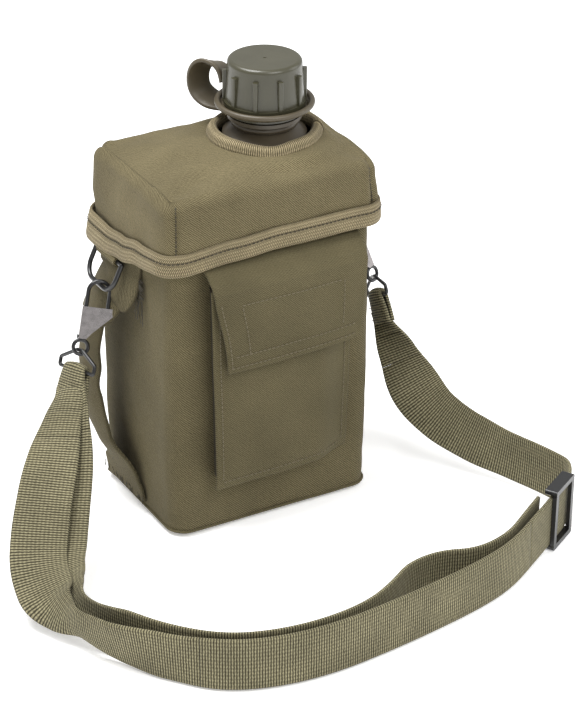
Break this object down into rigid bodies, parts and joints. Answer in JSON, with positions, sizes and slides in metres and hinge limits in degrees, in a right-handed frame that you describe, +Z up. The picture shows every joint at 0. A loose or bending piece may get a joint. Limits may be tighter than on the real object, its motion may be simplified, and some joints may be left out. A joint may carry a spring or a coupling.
{
  "type": "canteen",
  "caption": "Two-litre rectangular canteen with a ribbed screw cap, in a padded fabric cover with a front pocket, side bands, snap hooks and an adjustable webbing shoulder strap.",
  "frame": {"origin": "on the ground under the middle of the cover", "axes": "+Z up, -Y towards the pocket side, +X to the right of someone facing the pocket"},
  "size_m": [0.3331, 0.2577, 0.2673],
  "materials": {
    "cover_fabric": "coated polyester twill, matte olive",
    "lining": "foam padding faced with thin olive cloth",
    "binding_tape": "ribbed khaki binding tape",
    "hook_and_loop": "olive hook and loop tape",
    "webbing": "olive ribbed webbing",
    "bottle_plastic": "moulded dark olive-brown plastic",
    "cap_plastic": "moulded olive plastic, satin gloss",
    "tether_plastic": "flexible olive-brown plastic",
    "gasket": "soft grey liner",
    "black_wire": "black lacquered steel wire",
    "gate_steel": "sheet steel with dark edges",
    "slider_plastic": "black slider"
  },
  "bodies": {
    "root": {"cover_body": "cover_fabric", "cover_padding": "lining", "cover_lid": "cover_fabric", "lid_binding": "binding_tape", "neck_binding": "binding_tape", "rear_hinge_tape": "binding_tape", "base_piping": "binding_tape", "bottle": "bottle_plastic", "bottle_thread": "bottle_plastic", "neck_ring": "bottle_plastic", "cap_tether": "tether_plastic", "pocket_panel": "cover_fabric", "pocket_gusset": "cover_fabric", "pocket_loop_tape": "hook_and_loop", "flap_root": "cover_fabric", "side_band_left": "cover_fabric", "side_band_right": "cover_fabric", "ring_tab_left": "cover_fabric", "ring_tab_right": "cover_fabric", "shoulder_strap": "webbing", "strap_return": "webbing", "strap_drop": "webbing", "strap_climb_outer": "webbing", "strap_climb_return": "webbing"},
    "cap_ring": {"cap_retainer_ring": "tether_plastic"},
    "cap": {"bottle_cap": "cap_plastic", "cap_thread": "cap_plastic", "cap_liner": "gasket"},
    "flap": {"pocket_flap": "cover_fabric", "flap_hook_tape": "hook_and_loop"},
    "slider": {"slider": "slider_plastic"},
    "ring_left": {"d_ring_left": "black_wire"},
    "hook_left": {"hook_wire_left": "black_wire", "gate_rivet_left": "black_wire", "gate_spring_left": "gate_steel"},
    "gate_left": {"hook_gate_left": "gate_steel"},
    "link_left": {"strap_link_left": "black_wire", "strap_fold_left": "webbing"},
    "ring_right": {"d_ring_right": "black_wire"},
    "hook_right": {"hook_wire_right": "black_wire", "gate_rivet_right": "black_wire", "gate_spring_right": "gate_steel"},
    "gate_right": {"hook_gate_right": "gate_steel"},
    "link_right": {"strap_link_right": "black_wire", "strap_end_right": "webbing"}
  },
  "joints": [
    {"name": "cap_rise", "type": "slide", "parent": "root", "child": "cap_ring", "axis": [0, 0, 1], "range_m": [0, 0.0076], "deforming": ["cap_tether"]},
    {"name": "cap_turn", "type": "hinge", "parent": "cap_ring", "child": "cap", "pos_m": [0.019, 0, 0.25], "axis": [0, 0, 1], "range_deg": [0, 450]},
    {"name": "pocket_flap_fold", "type": "hinge", "parent": "root", "child": "flap", "pos_m": [0.003, -0.0629, 0.1619], "axis": [-1, 0, 0], "range_deg": [0, 150]},
    {"name": "slider_slide", "type": "slide", "parent": "root", "child": "slider", "axis": [-0.8529, -0.5222, 0], "range_m": [-0.01, 0.01], "deforming": ["shoulder_strap", "strap_return"]},
    {"name": "ring_left_swing", "type": "hinge", "parent": "root", "child": "ring_left", "pos_m": [-0.0725, 0.016, 0.159], "axis": [0, 1, 0], "range_deg": [-4, 45], "deforming": ["strap_climb_outer", "strap_climb_return"]},
    {"name": "hook_left_swing", "type": "hinge", "parent": "ring_left", "child": "hook_left", "pos_m": [-0.08011, 0.011, 0.14269], "axis": [0, 1, 0], "range_deg": [-4, 35]},
    {"name": "gate_left_press", "type": "hinge", "parent": "hook_left", "child": "gate_left", "pos_m": [-0.09507, 0.00754, 0.11593], "axis": [0.9062, -0.3785, -0.1886], "range_deg": [0, 22], "stiffness_Nm_per_rad": 0.01},
    {"name": "link_left_swing", "type": "hinge", "parent": "hook_left", "child": "link_left", "pos_m": [-0.09726, 0.00593, 0.10862], "axis": [0.2565, -0.9542, 0.1539], "range_deg": [-15, 20]},
    {"name": "ring_right_swing", "type": "hinge", "parent": "root", "child": "ring_right", "pos_m": [0.0725, 0.016, 0.159], "axis": [0, -1, 0], "range_deg": [-4, 45], "deforming": ["strap_drop"]},
    {"name": "hook_right_swing", "type": "hinge", "parent": "ring_right", "child": "hook_right", "pos_m": [0.08011, 0.011, 0.14269], "axis": [0, -1, 0], "range_deg": [-4, 35]},
    {"name": "gate_right_press", "type": "hinge", "parent": "hook_right", "child": "gate_right", "pos_m": [0.09507, 0.00754, 0.11593], "axis": [0.9062, 0.3785, 0.1886], "range_deg": [0, 22], "stiffness_Nm_per_rad": 0.01},
    {"name": "link_right_swing", "type": "hinge", "parent": "hook_right", "child": "link_right", "pos_m": [0.09726, 0.00593, 0.10862], "axis": [0.1, 0.8602, -0.5001], "range_deg": [-15, 20]}
  ],
  "couplings": [
    {"joint": "cap_rise", "follows": "cap_turn", "m_per_rad": 0.00095493}
  ]
}
